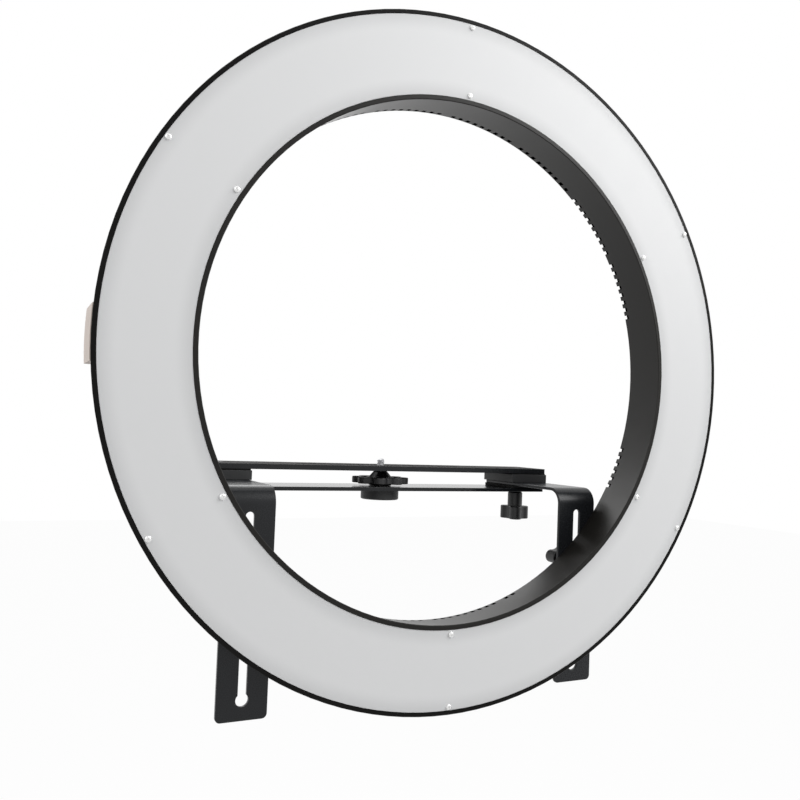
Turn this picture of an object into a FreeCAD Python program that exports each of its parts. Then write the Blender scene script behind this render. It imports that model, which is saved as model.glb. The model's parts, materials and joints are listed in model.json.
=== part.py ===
import FreeCAD, Part
import math
import os

os.makedirs("parts", exist_ok=True)
V = FreeCAD.Vector

# All sizes are in millimetres. X runs to the right, Y runs backward and Z runs up.
# The origin is at the mouth of the stand socket, in the middle of the lower cross bar.

# Ring section, with radii about its own axis and depths from its front face
ring_outer_r = 245.0
ring_width = 61.7
ring_depth = 37.5
outer_taper = 5.0
hole_flare = 4.4
rim_width = 3.0
lip_width = 3.3
shell_wall = 1.5
edge_break = 0.5

# Diffuser and the ledges it rests on
diffuser_t = 2.9
diffuser_recess = 0.3
panel_gap = 0.2
ledge_t = 1.5
outer_ledge_width = 5.0
inner_ledge_width = 6.2

# Diffuser screws
screw_rim_gap = 0.7
screw_lip_gap = 1.3
screws_per_circle = 6
first_screw_angle = 90.0
screw_head_r = 1.9
screw_head_h = 1.3
screw_shank_r = 1.4
screw_length = 9.0
screw_gap = 0.05
hole_runout = 1.0
boss_r = 3.0
boss_rib_half = 2.4
front_boss_l = 6.5

# Vents through the rear corner of the inner wall, in groups from the top down to three o'clock.
# The lower quarters have only those within these angles of the level, clear of the clamps.
# Those within open_vent_half of the level are open at the back, and a rim closes the others.
vent_width = 3.0
vent_depth = 5.2
vent_reach = 2.1
vent_rim = 0.8
open_vent_half = 51.0
vent_pitch = 1.96
vent_land_pitch = 3.7
vent_counts = (9, 9, 9, 8)
lower_vent_spans = ((17.0, 29.0), (66.0, 90.0))

# Back cover and its flush screws
back_t = 2.0
outer_back_screw_inset = 4.5
inner_back_screw_inset = 5.3
back_boss_l = 8.0
flush_head_r = 2.6
flush_head_h = 1.4
flush_gap = 0.1

# Light boards on spacers in front of the back cover
board_inner_gap = 10.3
board_outer_gap = 10.0
board_t = 1.6
board_standoff = 2.9
board_count = 6
board_joint = 3.0
board_screw_spread = 20.0
board_screw_head_r = 2.2
board_screw_head_h = 1.2
board_screw_shank_r = 1.2
led_row_spread = 8.0
leds_per_row = 16
led_step_angle = 3.4
led_length = 3.5
led_width = 2.8
led_h = 0.7
link_spread = 3.0
link_length = 9.0
link_width = 1.2
link_h = 0.8

# Pale cover on the outer wall at nine o'clock
side_cover_half = 17.0
side_cover_start = 5.0
peg_r = 2.0
peg_l = 5.0
peg_root = 1.0
peg_spread = 10.0
peg_depth = 24.0

# Control box on the back of the ring at nine o'clock
box_inner_gap = 2.8
box_outer_gap = 2.0
box_depth = 14.0
box_wall = 1.8
box_corner_r = 5.0
box_edge_r = 1.2
box_top_margin = 9.0
box_post_r = 3.0
box_post_inner_inset = 8.5
box_post_outer_inset = 11.0
box_post_end_inset = 5.5
pcb_t = 1.6
pcb_lap = 0.5
pcb_top_lap = 1.0
pcb_standoff = 6.6
pcb_post_r = 2.2
pcb_post_inset = 3.3
pcb_post_rise = 3.0
pcb_post_drop = 5.5

# Board-to-board feed through the back cover
feed_width = 5.0
feed_bottom = 3.0
feed_height = 10.0
feed_gap = 1.0

# Display
display_margin = 8.75
display_h = 14.0
window_t = 1.1
window_lap = 2.0
window_gap = 0.1
module_gap = 0.3

# Dials on potentiometers
display_to_dial = 5.5
dial_to_dial = 6.0
dial_to_switch = 2.0
pot_width = 9.5
pot_h = 11.0
pot_depth = 5.0
pot_bore_l = 3.0
dial_shaft_r = 3.0
dial_shaft_gap = 0.05
dial_hole_gap = 0.3
dial_r = 7.5
dial_h = 9.0
dial_lift = 0.3
dial_roof = 1.5
dial_flutes = 12
flute_r = 1.0
flute_out = 0.5
pointer_width = 1.0
pointer_depth = 0.5
pointer_start = 2.5

# Power rocker
switch_to_inlet = 2.5
rocker_r = 5.2
rocker_half_width = 5.0
rocker_crown = 1.6
rocker_throw = 20.0
rocker_sink = 0.6
rocker_gap = 0.3
rocker_pin_r = 1.0
rocker_pin_l = 1.2
rocker_pin_gap = 0.05
switch_wall = 1.5
switch_flange = 1.5
switch_flange_t = 0.8
terminal_width = 3.0
terminal_t = 0.8

# Direct current inlet in the lower side of the control box
inlet_width = 9.0
inlet_side_gap = 0.6
inlet_length = 11.7
inlet_nose_r = 3.9
inlet_nose_gap = 0.1
inlet_proud = 0.2
inlet_bore_r = 3.0
inlet_bore_l = 11.0
inlet_pin_r = 1.0
inlet_pin_short = 1.0
inlet_tab_width = 6.0
inlet_tab_t = 0.6
inlet_tab_lap = 2.0

# Cross bars and the stack that is clamped between them
bar_width = 46.0
lower_bar_t = 3.0
camera_bar_t = 4.0
bar_corner_r = 2.0
lower_bar_inset = 3.0
camera_bar_inset = 1.5
lower_pad_t = 2.3
block_h = 7.2
upper_pad_t = 1.0
pad_inset = 0.8
block_margin = 0.5
block_overhang = 1.6

# Stand socket, with a 3/8 inch thread from below
socket_r = 15.7
socket_h = 8.2
socket_edge_r = 1.2
socket_thread_r = 4.76
socket_thread_gap = 0.05
socket_thread_l = 9.5
spigot_r = 8.0
spigot_gap = 0.05

# Strap legs
leg_x = 135.5
leg_width = 35.0
leg_t = 2.5
leg_length = 154.3
leg_bend_r = 12.5
leg_corner_r = 3.5
leg_setback = 88.5
flange_reach = 24.0
slot_gap = 0.1
slot_top_drop = 20.0
keyhole_rise = 13.5
keyhole_step = 1.4
reach_front = -11.0
reach_back = 13.0

# Clamp studs on the ring, one behind each leg
clamp_drop = 57.0
clamp_inset = 12.96
stud_r = 2.9
stud_end_gap = 0.5
stud_collar_step = 1.1
stud_collar_gap = 0.05
stud_flange_step = 3.0
stud_flange_t = 1.8
washer_r = 9.0
washer_t = 2.0
washer_gap = 0.15

# Lobed knobs of the clamps and the thumb screws
knob_lobes = 3
knob_tip_r = 13.5
knob_lobe_r = 5.2
knob_valley_r = 8.0
knob_head_h = 11.3
knob_edge_r = 0.8
neck_wall = 1.85
clamp_knob_turn = 180.0
clamp_neck_l = 6.5
thumb_neck_l = 14.4
clamp_chamfer = 1.5
thumb_chamfer = 2.6
insert_wall = 1.64
insert_gap = 0.05
thread_gap = 0.06
bore_roof = 3.0
thumb_root = 9.0

# Camera screw, its hand wheel and the bush that carries them along the slot
camera_thread_r = 3.175
camera_thread_l = 5.0
camera_shank_step = 0.175
camera_neck_l = 0.3
camera_travel = 70.0
bush_wall = 0.665
bush_gap = 0.1
bush_top_gap = 0.3
bush_flange_r = 6.5
bush_flange_t = 0.7
camera_fit = 0.06
wheel_lobes = 8
wheel_turn = 20.0
wheel_tip_r = 23.4
wheel_lobe_r = 5.5
wheel_valley_r = 4.0
wheel_t = 5.3
wheel_lift = 1.9
wheel_edge_r = 0.8
hub_r = 9.5
hub_top_r = 5.5
hub_gap = 0.3
web_inner_r = 11.5
web_outer_r = 17.0
web_depth = 1.2

# Smallest length that counts as different
tolerance = 1e-3

# Radii in the ring that follow from its outer radius and width
ring_back_outer_r = ring_outer_r - outer_taper
lip_inner_r = ring_outer_r - ring_width
hole_back_r = lip_inner_r + hole_flare
rim_inner_r = ring_outer_r - rim_width
lip_outer_r = lip_inner_r + lip_width
outer_ledge_r = rim_inner_r - outer_ledge_width
inner_ledge_r = lip_outer_r + inner_ledge_width
outer_screw_r = rim_inner_r - screw_rim_gap - screw_head_r
inner_screw_r = lip_outer_r + screw_lip_gap + screw_head_r
outer_back_screw_r = ring_back_outer_r - outer_back_screw_inset
inner_back_screw_r = hole_back_r + inner_back_screw_inset
vent_outer_r = hole_back_r + vent_reach
board_inner_r = hole_back_r + board_inner_gap
board_outer_r = ring_back_outer_r - board_outer_gap
board_mid_r = (board_inner_r + board_outer_r) / 2
box_inner_r = hole_back_r + box_inner_gap
box_outer_r = ring_back_outer_r - box_outer_gap

# Depths in the ring and its control box
diffuser_back = diffuser_recess + diffuser_t
back_front = ring_depth - back_t
board_back = back_front - board_standoff
board_front = board_back - board_t
panel_outer = ring_depth + box_depth
panel_inner = panel_outer - box_wall
pcb_back = panel_inner - pcb_standoff
pcb_front = pcb_back - pcb_t
washer_back = ring_depth + leg_t + washer_t

# The control box is as tall as the inlet, switch, two dials and display that it holds
switch_half = rocker_r + rocker_gap + switch_wall
window_half_h = display_h / 2 + window_lap / 2
switch_up = box_wall + inlet_length + switch_to_inlet + switch_half
colour_up = switch_up + switch_half + switch_flange + dial_to_switch + dial_r
brightness_up = colour_up + 2 * dial_r + dial_to_dial
display_up = brightness_up + dial_r + display_to_dial + window_half_h
box_half = (display_up + window_half_h + box_top_margin) / 2
rocker_z = switch_up - box_half
colour_z = colour_up - box_half
brightness_z = brightness_up - box_half
display_z = display_up - box_half

# Places of what the control box holds, with X along the ring's radius
control_x = -board_mid_r
display_width = box_outer_r - box_inner_r - 2 * display_margin
box_post_xs = (-box_inner_r - box_post_inner_inset, -box_outer_r + box_post_outer_inset)
box_post_z = box_half - box_post_end_inset
pcb_half_width = display_width / 2 + pcb_lap
pcb_top = display_z + display_h / 2 + pcb_top_lap
pcb_bottom = rocker_z - switch_half
pcb_post_spread = pcb_half_width - pcb_post_inset
pcb_post_zs = (display_z - display_h / 2 - pcb_post_drop, pcb_bottom + pcb_post_rise)
inlet_depth = box_depth - box_wall - 2 * inlet_side_gap

# Heights of the bracket's stack
z_lower_bar = socket_h
z_lower_pad = z_lower_bar + lower_bar_t
z_flange = z_lower_pad + lower_pad_t
z_block = z_flange + leg_t
z_upper_pad = z_block + block_h
z_camera_bar = z_upper_pad + upper_pad_t
z_bar_top = z_camera_bar + camera_bar_t

# Studs and what fits round them
slot_half = stud_r + slot_gap
keyhole_r = slot_half + keyhole_step
stud_collar_r = stud_r + stud_collar_step
stud_flange_r = stud_collar_r + stud_flange_step
insert_r = stud_r + thread_gap + insert_wall
knob_neck_r = insert_r + insert_gap + neck_wall
camera_shank_r = camera_thread_r - camera_shank_step
bush_r = camera_thread_r + camera_fit + bush_wall
slot_width = 2 * (bush_r + bush_gap)

# The ring stands where its clamp studs, behind the legs, meet its back cover
clamp_circle_r = hole_back_r + clamp_inset
clamp_below_centre = math.sqrt(clamp_circle_r ** 2 - leg_x ** 2)
z_clamp = z_block - clamp_drop
ring_z = z_clamp + clamp_below_centre
ring_front_y = -leg_setback - ring_depth


# Plain shapes

def box(x0, x1, y0, y1, z0, z1):
    return Part.makeBox(x1 - x0, y1 - y0, z1 - z0, V(x0, y0, z0))


def along_y(radius, x, z, y0, y1):
    return Part.makeCylinder(radius, y1 - y0, V(x, y0, z), V(0, 1, 0))


def along_z(radius, x, y, z0, z1):
    return Part.makeCylinder(radius, z1 - z0, V(x, y, z0), V(0, 0, 1))


def cone_y(r0, r1, x, z, y0, y1):
    return Part.makeCone(r0, r1, y1 - y0, V(x, y0, z), V(0, 1, 0))


def turned(points):
    """Solid turned about the Y axis from corners given as radius and depth."""
    corners = [V(radius, depth, 0) for radius, depth in points]
    outline = Part.makePolygon(corners + corners[:1])
    return Part.Face(outline).revolve(V(0, 0, 0), V(0, 1, 0), 360)


def washer_y(r_out, r_in, y0, y1):
    return turned([(r_in, y0), (r_out, y0), (r_out, y1), (r_in, y1)])


def polar(radius, angle):
    """X and Z of a point at this radius, with the angle counted from +X towards +Z."""
    turn = math.radians(angle)
    return radius * math.cos(turn), radius * math.sin(turn)


def turn_to(shape, angle):
    """Copy of a shape made at three o'clock, turned about the ring's axis."""
    copy = shape.copy()
    copy.rotate(V(0, 0, 0), V(0, 1, 0), -angle)
    return copy


def union(shapes):
    return shapes[0].fuse(shapes[1:]).removeSplitter()


def edges_on(shape, axis, level):
    """Edges that lie wholly at one level of an axis, 0 for X, 1 for Y and 2 for Z."""
    found = []
    for edge in shape.Edges:
        bounds = edge.BoundBox
        low = (bounds.XMin, bounds.YMin, bounds.ZMin)[axis]
        high = (bounds.XMax, bounds.YMax, bounds.ZMax)[axis]
        if abs(low - level) < tolerance and abs(high - level) < tolerance:
            found.append(edge)
    return found


def straight_edges(shape, direction):
    """Straight edges that run along a direction."""
    found = []
    for edge in shape.Edges:
        if not isinstance(edge.Curve, Part.Line):
            continue
        if abs(edge.tangentAt(edge.FirstParameter).dot(direction)) > 1 - tolerance:
            found.append(edge)
    return found


def lobed_face(count, tip_r, lobe_r, valley_r):
    """Flat outline in XY of round lobes joined by round valleys, all tangent."""
    lobe_at = tip_r - lobe_r
    half = math.pi / count
    reach = lobe_at * math.cos(half)
    valley_at = reach + math.sqrt(reach ** 2 - lobe_at ** 2 + (lobe_r + valley_r) ** 2)
    share = lobe_r / (lobe_r + valley_r)

    def at(radius, angle):
        return V(radius * math.cos(angle), radius * math.sin(angle), 0)

    edges = []
    for index in range(count):
        middle = 2 * half * index
        lobe = at(lobe_at, middle)
        before = lobe + (at(valley_at, middle - half) - lobe) * share
        after = lobe + (at(valley_at, middle + half) - lobe) * share
        following = at(lobe_at, middle + 2 * half)
        rejoin = following + (at(valley_at, middle + half) - following) * share
        edges.append(Part.Arc(before, at(tip_r, middle), after).toShape())
        edges.append(Part.Arc(after, at(valley_at - valley_r, middle + half), rejoin).toShape())
    return Part.Face(Part.Wire(edges))


def in_ring(shape):
    """Moves a shape from the ring's own axis and front face to its place."""
    shape.translate(V(0, ring_front_y, ring_z))
    return shape


def mirrored(shape):
    return shape.mirror(V(0, 0, 0), V(1, 0, 0))


def save(name, shape):
    shape.exportStep("parts/" + name + ".step")


# Ring section

def outer_wall_r(depth):
    return ring_outer_r + (ring_back_outer_r - ring_outer_r) * depth / ring_depth


def inner_wall_r(depth):
    return lip_inner_r + (hole_back_r - lip_inner_r) * depth / ring_depth


def screw_angles():
    return [first_screw_angle + 360.0 / screws_per_circle * index for index in range(screws_per_circle)]


def quarters(angles):
    """The angles of the first quarter, mirrored into all four."""
    turned_round = []
    for angle in angles:
        for copy in (angle, 180.0 - angle, 180.0 + angle, -angle):
            if all(abs(math.sin(math.radians((copy - other) / 2))) > 1e-6 for other in turned_round):
                turned_round.append(copy)
    return turned_round


def vent_angles():
    upper = []
    angle = 90.0 - vent_land_pitch / 2
    for count in vent_counts:
        for _ in range(count):
            upper.append(angle)
            angle -= vent_pitch
        angle -= vent_land_pitch - vent_pitch
    lower = [-angle for angle in upper if any(low < angle < high for low, high in lower_vent_spans)]
    return [place for angle in upper + lower for place in (angle, 180.0 - angle)]


def land_angles():
    """Middles of the plain lands at the top, at the bottom and before the last groups."""
    step = (vent_counts[0] - 1) * vent_pitch + vent_land_pitch
    return quarters([90.0, 90.0 - (len(vent_counts) - 1) * step])


def vents(open_at_back):
    """Cutters of the vents that are open at the back, or of those that a rim closes."""
    end = ring_depth + hole_runout if open_at_back else ring_depth - vent_rim
    tooth = box(hole_back_r - vent_reach, vent_outer_r, ring_depth - vent_depth, end,
                -vent_width / 2, vent_width / 2)
    open_sine = math.sin(math.radians(open_vent_half))
    return [turn_to(tooth, angle) for angle in vent_angles()
            if (abs(math.sin(math.radians(angle))) < open_sine) == open_at_back]


def bosses(circle_r, wall_mid_r, angles, y0, y1):
    """Screw bosses, each tied to its wall by a rib."""
    made = []
    for angle in angles:
        low, high = min(circle_r, wall_mid_r), max(circle_r, wall_mid_r)
        rib = box(low, high, y0, y1, -boss_rib_half, boss_rib_half)
        made.append(turn_to(along_y(boss_r, circle_r, 0, y0, y1).fuse(rib), angle))
    return made


def holes(radius, circle_r, angles, y0, y1):
    return [along_y(radius, *polar(circle_r, angle), y0, y1) for angle in angles]


def front_holes(circle_r):
    return holes(screw_shank_r + screw_gap, circle_r, screw_angles(), 0, screw_length + hole_runout)


def back_holes(circle_r, angles):
    return holes(screw_shank_r + screw_gap, circle_r, angles,
                 ring_depth - screw_length - hole_runout, ring_depth)


def outer_shell():
    ledge_back = diffuser_back + ledge_t
    shell = turned([
        (rim_inner_r, 0),
        (ring_outer_r - edge_break, 0),
        (outer_wall_r(edge_break), edge_break),
        (ring_back_outer_r, ring_depth),
        (ring_back_outer_r - shell_wall, ring_depth),
        (outer_wall_r(ledge_back) - shell_wall, ledge_back),
        (outer_ledge_r, ledge_back),
        (outer_ledge_r, diffuser_back),
        (rim_inner_r, diffuser_back),
    ])
    front_end = ledge_back + front_boss_l
    back_start = back_front - back_boss_l
    front_mid = outer_wall_r((diffuser_back + front_end) / 2) - shell_wall / 2
    back_mid = outer_wall_r((back_start + back_front) / 2) - shell_wall / 2
    shell = union([shell]
                  + bosses(outer_screw_r, front_mid, screw_angles(), diffuser_back, front_end)
                  + bosses(outer_back_screw_r, back_mid, screw_angles(), back_start, back_front))
    cuts = front_holes(outer_screw_r) + back_holes(outer_back_screw_r, screw_angles())
    for side in (-1, 1):
        start = V(-ring_outer_r - hole_runout, peg_depth, side * peg_spread)
        hole_l = hole_runout + outer_taper + peg_l
        cuts.append(Part.makeCylinder(peg_r + screw_gap, hole_l, start, V(1, 0, 0)))
    return in_ring(shell.cut(cuts))


def inner_shell():
    ledge_back = diffuser_back + ledge_t
    shell = turned([
        (inner_wall_r(edge_break), edge_break),
        (lip_inner_r + edge_break, 0),
        (lip_outer_r, 0),
        (lip_outer_r, diffuser_back),
        (inner_ledge_r, diffuser_back),
        (inner_ledge_r, ledge_back),
        (inner_wall_r(ledge_back) + shell_wall, ledge_back),
        (hole_back_r + shell_wall, ring_depth),
        (hole_back_r, ring_depth),
    ])
    front_end = ledge_back + front_boss_l
    back_start = back_front - back_boss_l
    front_mid = inner_wall_r((diffuser_back + front_end) / 2) + shell_wall / 2
    back_mid = inner_wall_r((back_start + back_front) / 2) + shell_wall / 2
    shell = union([shell]
                  + bosses(inner_screw_r, front_mid, screw_angles(), diffuser_back, front_end)
                  + bosses(inner_back_screw_r, back_mid, land_angles(), back_start, back_front))
    shell = shell.cut(front_holes(inner_screw_r) + back_holes(inner_back_screw_r, land_angles()))
    return in_ring(shell.cut(vents(True) + vents(False)))


def diffuser():
    panel = washer_y(rim_inner_r - panel_gap, lip_outer_r + panel_gap, diffuser_recess, diffuser_back)
    return in_ring(panel.cut(front_holes(outer_screw_r) + front_holes(inner_screw_r)))


def diffuser_screws():
    screws = []
    for circle_r in (outer_screw_r, inner_screw_r):
        for angle in screw_angles():
            x, z = polar(circle_r, angle)
            head = along_y(screw_head_r, x, z, diffuser_recess - screw_head_h, diffuser_recess)
            head = head.makeFillet(screw_head_h / 2, edges_on(head, 1, diffuser_recess - screw_head_h))
            screws.append(head.fuse(along_y(screw_shank_r, x, z, diffuser_recess, screw_length)))
    return in_ring(Part.makeCompound(screws))


def back_screw_places():
    places = [polar(outer_back_screw_r, angle) for angle in screw_angles()]
    return places + [polar(inner_back_screw_r, angle) for angle in land_angles()]


def flush_screw(x, z, gap):
    """Countersunk screw below the back of the cover, or its seat where a gap is given."""
    top = ring_depth - flush_gap + gap
    head = cone_y(screw_shank_r + gap, flush_head_r + gap, x, z, top - flush_head_h, top)
    return head.fuse(along_y(screw_shank_r + gap, x, z, ring_depth - screw_length, top - flush_head_h))


def back_screws():
    return in_ring(Part.makeCompound([flush_screw(x, z, 0) for x, z in back_screw_places()]))


def board_screw_places():
    places = []
    for index in range(board_count):
        middle = 360.0 / board_count * (index + 0.5)
        for side in (-1, 1):
            places.append(polar(board_mid_r, middle + side * board_screw_spread))
    return places


def box_post_places():
    return [(x, side * box_post_z) for x in box_post_xs for side in (-1, 1)]


def back_cover():
    cover = washer_y(ring_back_outer_r - shell_wall - panel_gap, hole_back_r + shell_wall + panel_gap,
                     back_front, ring_depth)
    spacers = [along_y(boss_r, x, z, board_back, back_front) for x, z in board_screw_places()]
    cover = union([cover] + spacers)
    cuts = [flush_screw(x, z, flush_gap) for x, z in back_screw_places()]
    for x, z in board_screw_places():
        cuts.append(along_y(board_screw_shank_r + screw_gap, x, z, board_back, ring_depth - back_t / 2))
    for x, z in box_post_places():
        cuts.append(along_y(screw_shank_r + flush_gap, x, z, back_front, ring_depth))
    for side in (-1, 1):
        cuts.append(along_y(stud_collar_r + stud_collar_gap, side * leg_x, -clamp_below_centre,
                            back_front, ring_depth))
    cuts.append(box(control_x - feed_width / 2 - feed_gap, control_x + feed_width / 2 + feed_gap,
                    back_front, ring_depth, feed_bottom - feed_gap, feed_bottom + feed_height + feed_gap))
    return in_ring(cover.cut(cuts).cut(vents(True)))


# Light source inside the ring

def led_boards():
    ring = washer_y(board_outer_r, board_inner_r, board_front, board_back)
    slit = box(0, board_outer_r + hole_runout, board_front, board_back, -board_joint / 2, board_joint / 2)
    cuts = [turn_to(slit, 360.0 / board_count * index) for index in range(board_count)]
    for x, z in board_screw_places():
        cuts.append(along_y(board_screw_shank_r + screw_gap, x, z, board_front, board_back))
    return in_ring(ring.cut(cuts))


def board_screws():
    screws = []
    for x, z in board_screw_places():
        head = along_y(board_screw_head_r, x, z, board_front - board_screw_head_h, board_front)
        shank = along_y(board_screw_shank_r, x, z, board_front, ring_depth - back_t / 2)
        screws.append(head.fuse(shank))
    return in_ring(Part.makeCompound(screws))


def leds(parity):
    """Every second chip of both rows: even places for one colour, odd for the other."""
    chips = []
    for row, side in enumerate((-1, 1)):
        row_r = board_mid_r + side * led_row_spread
        chip = box(row_r - led_length / 2, row_r + led_length / 2, board_front - led_h,
                   board_front, -led_width / 2, led_width / 2)
        for board in range(board_count):
            middle = 360.0 / board_count * (board + 0.5)
            for index in range(leds_per_row):
                if (index + row) % 2 == parity:
                    chips.append(turn_to(chip, middle + (index - (leds_per_row - 1) / 2) * led_step_angle))
    return in_ring(Part.makeCompound(chips))


def board_links():
    """Three jumpers over every board joint but the one at the feed, at nine o'clock."""
    links = []
    for index in range(board_count):
        angle = 360.0 / board_count * index
        if abs(angle - 180.0) < tolerance:
            continue
        for place in (-1, 0, 1):
            link_r = board_mid_r + place * link_spread
            link = box(link_r - link_width / 2, link_r + link_width / 2, board_front - link_h,
                       board_front, -link_length / 2, link_length / 2)
            links.append(turn_to(link, angle))
    return in_ring(Part.makeCompound(links))


def feed_connector():
    return in_ring(box(control_x - feed_width / 2, control_x + feed_width / 2, board_back, pcb_front,
                       feed_bottom, feed_bottom + feed_height))


# Pale cover at nine o'clock

def side_cover():
    wedge = turned([
        (outer_wall_r(side_cover_start), side_cover_start),
        (ring_outer_r, side_cover_start),
        (ring_outer_r, ring_depth),
        (ring_back_outer_r, ring_depth),
    ])
    slab = box(-ring_outer_r - hole_runout, 0, 0, ring_depth, -side_cover_half, side_cover_half)
    cover = wedge.common(slab)
    for side in (-1, 1):
        start = V(-outer_wall_r(peg_depth) - peg_root, peg_depth, side * peg_spread)
        cover = cover.fuse(Part.makeCylinder(peg_r, peg_l, start, V(1, 0, 0)))
    return in_ring(cover.removeSplitter())


# Control box

def sector(r_in, r_out, half, y0, y1):
    """Piece of a flat ring at nine o'clock between two level planes."""
    return washer_y(r_out, r_in, y0, y1).common(box(-r_out - hole_runout, 0, y0, y1, -half, half))


def control_box():
    body = sector(box_inner_r, box_outer_r, box_half, ring_depth, panel_outer)
    body = body.makeFillet(box_corner_r, straight_edges(body, V(0, 1, 0)))
    body = body.makeFillet(box_edge_r, edges_on(body, 1, panel_outer))
    hollow = sector(box_inner_r + box_wall, box_outer_r - box_wall, box_half - box_wall,
                    ring_depth, panel_inner)
    hollow = hollow.makeFillet(box_corner_r - box_wall, straight_edges(hollow, V(0, 1, 0)))
    posts = [along_y(box_post_r, x, z, ring_depth, panel_inner) for x, z in box_post_places()]
    posts += [along_y(pcb_post_r, x, z, pcb_back, panel_inner) for x, z in pcb_post_places()]
    body = union([body.cut(hollow)] + posts)
    cuts = [along_y(screw_shank_r + screw_gap, x, z, ring_depth, ring_depth + screw_length)
            for x, z in box_post_places()]
    cuts += [along_y(board_screw_shank_r + screw_gap, x, z, pcb_back, panel_inner)
             for x, z in pcb_post_places()]
    for z in (brightness_z, colour_z):
        cuts.append(along_y(dial_shaft_r + dial_hole_gap, control_x, z, panel_inner, panel_outer))
    half_w = display_width / 2
    half_h = display_h / 2
    cuts.append(box(control_x - half_w, control_x + half_w, panel_inner, panel_outer,
                    display_z - half_h, display_z + half_h))
    lap = window_lap + window_gap
    seat_half_h = window_half_h + window_gap / 2
    cuts.append(box(control_x - half_w - lap, control_x + half_w + lap, panel_outer - window_t,
                    panel_outer, display_z - seat_half_h, display_z + seat_half_h))
    switch_w = rocker_half_width + rocker_gap + switch_wall + window_gap
    switch_h = switch_half + window_gap
    cuts.append(box(control_x - switch_w, control_x + switch_w, panel_inner, panel_outer,
                    rocker_z - switch_h, rocker_z + switch_h))
    cuts.append(along_z(inlet_nose_r + inlet_nose_gap, control_x, inlet_y(), -box_half - hole_runout,
                        -box_half + box_wall))
    return in_ring(body.cut(cuts))


def pcb_post_places():
    return [(control_x + side * pcb_post_spread, z) for z in pcb_post_zs for side in (-1, 1)]


def control_screws():
    screws = []
    for x, z in box_post_places():
        head = along_y(screw_head_r, x, z, back_front - screw_head_h, back_front)
        shank = along_y(screw_shank_r, x, z, back_front, ring_depth + screw_length - hole_runout)
        screws.append(head.fuse(shank))
    return in_ring(Part.makeCompound(screws))


def driver_board():
    board = box(control_x - pcb_half_width, control_x + pcb_half_width, pcb_front, pcb_back,
                pcb_bottom, pcb_top)
    return in_ring(board.cut([along_y(board_screw_shank_r + screw_gap, x, z, pcb_front, pcb_back)
                              for x, z in pcb_post_places()]))


def driver_board_screws():
    screws = []
    for x, z in pcb_post_places():
        head = along_y(board_screw_head_r, x, z, pcb_front - board_screw_head_h, pcb_front)
        shank = along_y(board_screw_shank_r, x, z, pcb_front, pcb_back + pcb_standoff / 2)
        screws.append(head.fuse(shank))
    return in_ring(Part.makeCompound(screws))


def display_window():
    half_w = display_width / 2 + window_lap
    return in_ring(box(control_x - half_w, control_x + half_w, panel_outer - window_t, panel_outer,
                       display_z - window_half_h, display_z + window_half_h))


def display_module():
    half_w = display_width / 2 - module_gap
    half_h = display_h / 2 - module_gap
    return in_ring(box(control_x - half_w, control_x + half_w, pcb_back,
                       panel_outer - window_t - module_gap, display_z - half_h, display_z + half_h))


def potentiometers():
    bodies = []
    for z in (brightness_z, colour_z):
        body = box(control_x - pot_width / 2, control_x + pot_width / 2, pcb_back, pcb_back + pot_depth,
                   z - pot_h / 2, z + pot_h / 2)
        bodies.append(body.cut(along_y(dial_shaft_r + dial_shaft_gap, control_x, z,
                                       pcb_back + pot_depth - pot_bore_l, pcb_back + pot_depth)))
    return in_ring(Part.makeCompound(bodies))


def dial_shaft(z):
    return in_ring(along_y(dial_shaft_r, control_x, z, pcb_back + pot_depth - pot_bore_l,
                           panel_outer + dial_lift + dial_h - dial_roof))


def dial(z):
    low = panel_outer + dial_lift
    high = low + dial_h
    knob = along_y(dial_r, control_x, z, low, high)
    knob = knob.makeFillet(knob_edge_r, edges_on(knob, 1, high))
    cuts = [along_y(dial_shaft_r + dial_shaft_gap, control_x, z, low, high - dial_roof)]
    for index in range(dial_flutes):
        dx, dz = polar(dial_r + flute_out, 360.0 / dial_flutes * (index + 0.5))
        cuts.append(along_y(flute_r, control_x + dx, z + dz, low, high))
    cuts.append(box(control_x - pointer_width / 2, control_x + pointer_width / 2,
                    high - pointer_depth, high, z + pointer_start, z + dial_r))
    return in_ring(knob.cut(cuts))


def rocker_axis_y():
    return panel_outer + switch_flange_t - rocker_sink


def switch_housing():
    flange_face = panel_outer + switch_flange_t
    bottom = rocker_axis_y() - rocker_r - rocker_gap
    half_w = rocker_half_width + rocker_gap
    half_h = rocker_r + rocker_gap
    body = box(control_x - half_w - switch_wall, control_x + half_w + switch_wall,
               bottom - switch_wall, panel_outer, rocker_z - switch_half, rocker_z + switch_half)
    lap = switch_wall + switch_flange
    flange = box(control_x - half_w - lap, control_x + half_w + lap, panel_outer, flange_face,
                 rocker_z - switch_half - switch_flange, rocker_z + switch_half + switch_flange)
    pieces = [body, flange]
    for side in (-1, 1):
        middle = control_x + side * rocker_half_width / 2
        pieces.append(box(middle - terminal_t / 2, middle + terminal_t / 2, pcb_back,
                          bottom - switch_wall, rocker_z - terminal_width / 2,
                          rocker_z + terminal_width / 2))
    housing = union(pieces)
    well = box(control_x - half_w, control_x + half_w, bottom, flange_face,
               rocker_z - half_h, rocker_z + half_h)
    pin_half = rocker_half_width + rocker_pin_l + rocker_pin_gap
    pin_hole = Part.makeCylinder(rocker_pin_r + rocker_pin_gap, 2 * pin_half,
                                 V(control_x - pin_half, rocker_axis_y(), rocker_z), V(1, 0, 0))
    return in_ring(housing.cut([well, pin_hole]))


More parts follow.
